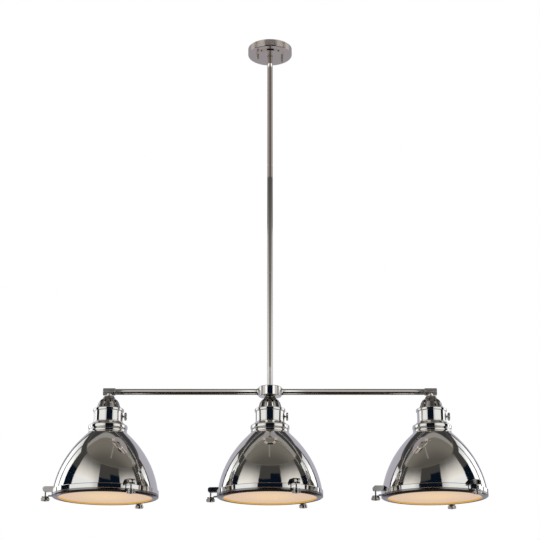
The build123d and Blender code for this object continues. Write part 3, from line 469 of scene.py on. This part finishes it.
def glowing_glass(name, colour, light, strength, rough, grain, rim_light=None):
    """Frosted glass lit from behind; rim_light is its light away from the bulb of each lamp."""
    material, tree = new_material(name)
    place, _ = object_axes(tree)
    frost = tree.add("ShaderNodeTexNoise", {"Vector": place, "Scale": grain, "Detail": 4.0})
    bump = tree.add("ShaderNodeBump", {"Strength": 0.15, "Distance": 0.0002, "Height": frost.outputs["Fac"]})
    tint = tree.mix(frost.outputs["Fac"], colour, tuple(0.93 * part for part in colour))
    lit = tree.step(frost.outputs["Fac"], 0.2, 0.8, 0.985 * strength, 1.015 * strength)
    glow = (*light, 1.0)
    if rim_light:
        axis = object_axes(tree)[1]
        lamp_number = tree.math("ROUND", tree.math("DIVIDE", axis[0], LAMP_SPACING))
        from_bulb = tree.math("SUBTRACT", axis[0], tree.math("MULTIPLY", lamp_number, LAMP_SPACING))
        away = tree.math("SQRT", tree.math("ADD", tree.math("MULTIPLY", from_bulb, from_bulb),
                                           tree.math("MULTIPLY", axis[1], axis[1])))
        glow = tree.mix(tree.step(away, 0.015, 0.105), light, rim_light)
    surface = tree.add("ShaderNodeBsdfPrincipled", {
        "Base Color": tint, "Roughness": rough, "Emission Color": glow,
        "Emission Strength": lit, "Normal": bump.outputs["Normal"]})
    tree.add("ShaderNodeOutputMaterial", {"Surface": surface.outputs[0]})
    return material


LAMP_SPACING = sum(corner[0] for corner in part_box("lens_right")) / 2
WAVE_PERIOD = pi / 10        # a Wave texture's period at a scale of 1, in metres
THREAD_PITCH = 0.0008
THREAD_DEPTH = 0.0004
BOLT_LOW, BOLT_TOP = (corner[2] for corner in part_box("swing_bolt_centre_1"))
EYE_HEIGHT = 0.012          # the bolt's plain eye and neck

PLATE_RIM = -0.0175         # below this height the canopy is its round face

NICKEL = (0.80, 0.77, 0.73)
NICKEL_WORN = (0.76, 0.73, 0.68)
nickel_turned = metal("nickel_turned", NICKEL, NICKEL_WORN, (0.045, 0.070), (6.0, 6.0, 900.0), 0.004)
nickel_tube = metal("nickel_tube", NICKEL, NICKEL_WORN, (0.03, 0.06), (700.0, 700.0, 12.0), 0.015)
nickel_brushed = metal("nickel_brushed", NICKEL, NICKEL_WORN, (0.09, 0.12), (900.0, 30.0, 30.0), 0.004, "arm")
nickel_plate = metal("nickel_plate", NICKEL, NICKEL_WORN, (0.30, 0.38), (40.0, 40.0, 900.0), 0.02, "plate")
# Painted shade: the vent cap's nickel is darkened to about half the brightness of the other nickel.
nickel_cap_painted_shade = metal("nickel_cap_painted_shade", (0.42, 0.40, 0.37), (0.34, 0.32, 0.29), (0.10, 0.17),
                   (60.0, 60.0, 700.0), 0.02)
nickel_shadow = metal("nickel_shadow", (0.30, 0.285, 0.28), (0.25, 0.24, 0.23), (0.16, 0.24),
                      (6.0, 6.0, 900.0), 0.01)
# Painted shade: the latch brackets, pins, bolts, nuts and thumb screws are the same polished nickel, darkened
# here to stand in for the darker reflections they show.
CAST_PAINTED_SHADE = (0.56, 0.53, 0.48)
CAST_WORN_PAINTED_SHADE = (0.46, 0.43, 0.39)
nickel_cast_painted_shade = metal("nickel_cast_painted_shade", CAST_PAINTED_SHADE, CAST_WORN_PAINTED_SHADE, (0.08, 0.18), (420.0, 420.0, 420.0), 0.08)
nickel_thread_painted_shade = metal("nickel_thread_painted_shade", CAST_PAINTED_SHADE, CAST_WORN_PAINTED_SHADE, (0.12, 0.20), (420.0, 420.0, 420.0), 0.05,
                      threaded=(BOLT_LOW, BOLT_TOP - EYE_HEIGHT))
zinc = metal("zinc", (0.66, 0.67, 0.69), (0.58, 0.59, 0.60), (0.28, 0.42), (260.0, 260.0, 260.0), 0.2)
lens_glass = glowing_glass("lens_frost", (0.30, 0.25, 0.20), (1.12, 0.78, 0.42), 0.60, 0.45, 120.0,
                           (0.92, 0.64, 0.44))
bulb_glass = glowing_glass("bulb_frost", (0.80, 0.76, 0.70), (1.0, 0.78, 0.52), 1.2, 0.5, 500.0)


def plastic(name, colour, rough, grain):
    """Moulded or fired surface with a fine grain."""
    material, tree = new_material(name)
    place, _ = object_axes(tree)
    speck = tree.add("ShaderNodeTexNoise", {"Vector": place, "Scale": grain, "Detail": 3.0})
    tint = tree.mix(speck.outputs["Fac"], colour, tuple(0.9 * part for part in colour))
    bump = tree.add("ShaderNodeBump", {"Strength": 0.1, "Distance": 0.0002, "Height": speck.outputs["Fac"]})
    surface = tree.add("ShaderNodeBsdfPrincipled", {"Base Color": tint, "Roughness": rough,
                                                    "Normal": bump.outputs["Normal"]})
    tree.add("ShaderNodeOutputMaterial", {"Surface": surface.outputs[0]})
    return material


porcelain = plastic("porcelain", (0.86, 0.84, 0.79), 0.18, 60.0)
nylon = plastic("nylon", (0.82, 0.81, 0.77), 0.45, 300.0)

# Finishes of the nodes; the vent cap's, the latch parts' and the lens frame's darkened nickel is painted
# shade.
FINISH = {
    "crossbar": zinc, "canopy_studs": zinc, "swivel_socket": zinc, "threaded_nipples": zinc,
    "fitter_sleeves": zinc, "latch_pins": nickel_cast_painted_shade, "swing_bolt": nickel_thread_painted_shade,
    "thumb_nut": nickel_cast_painted_shade, "latch_brackets": nickel_cast_painted_shade, "thumb_screw": nickel_cast_painted_shade,
    "swivel_liner": nylon, "lampholders": porcelain, "bulbs": bulb_glass,
    "lens_left": lens_glass, "lens_centre": lens_glass, "lens_right": lens_glass,
    "stem": nickel_tube, "arm": nickel_brushed, "end_fitting": nickel_brushed, "canopy": nickel_plate,
    "vent_cap": nickel_cap_painted_shade, "lens_frame": nickel_shadow,
}


def finish_of(name):
    """The finish of a node: the longest entry of FINISH that its name starts with."""
    fits = [key for key in FINISH if name.startswith(key)]
    return FINISH[max(fits, key=len)] if fits else nickel_turned


for node_name, node in nodes.items():
    paint(node, finish_of(node_name))


# ---------------------------------------------------------------- fine pieces

LENS_LEDGE = 0.0076         # the frame's opening inside the lens's edge
GASKET_THICKNESS = 0.0009
GASKET_LIP = 0.0012         # how far the gasket's foot turns out under the frame


def gasket(lamp):
    """Amber gasket that lines the frame's opening, with a rounded foot; its glow is painted light that stands
    in for the bulb's light on the opening's wall.

    Its profile is a strip up the opening's wall whose foot is a half circle.
    """
    low, high = (np.array(corner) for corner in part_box(f"lens_{lamp}"))
    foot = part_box(f"lens_frame_{lamp}")[0][2]
    centre = (low + high)[:2] / 2
    outer = (high[0] - low[0]) / 2 - LENS_LEDGE
    inner = outer - GASKET_THICKNESS
    middle = (outer + inner) / 2
    half = GASKET_THICKNESS / 2
    sweep = np.linspace(pi, 2 * pi, 9)
    bottom = foot + GASKET_LIP
    rounded = [(middle + half * np.cos(a), bottom + half * np.sin(a)) for a in sweep]
    piece = turned(f"gasket_{lamp}", [*rounded, (outer, low[2] - 1e-4), (inner, low[2] - 1e-4)], 192, centre)
    paint(piece, amber_painted_glow)
    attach(piece, f"{lamp}_lens_frame")


# Painted glow: the gasket gives off warm light though it is no lamp, standing in for the bulb's light on the
# frame's opening.
amber_painted_glow = glowing_glass("amber_gasket_painted_glow", (0.60, 0.42, 0.14), (1.0, 0.55, 0.08), 0.26, 0.35, 900.0)
for lamp in LAMPS:
    gasket(lamp)

# ---------------------------------------------------------------- the picture

build_tent()
build_world()
build_lamp()
build_camera()
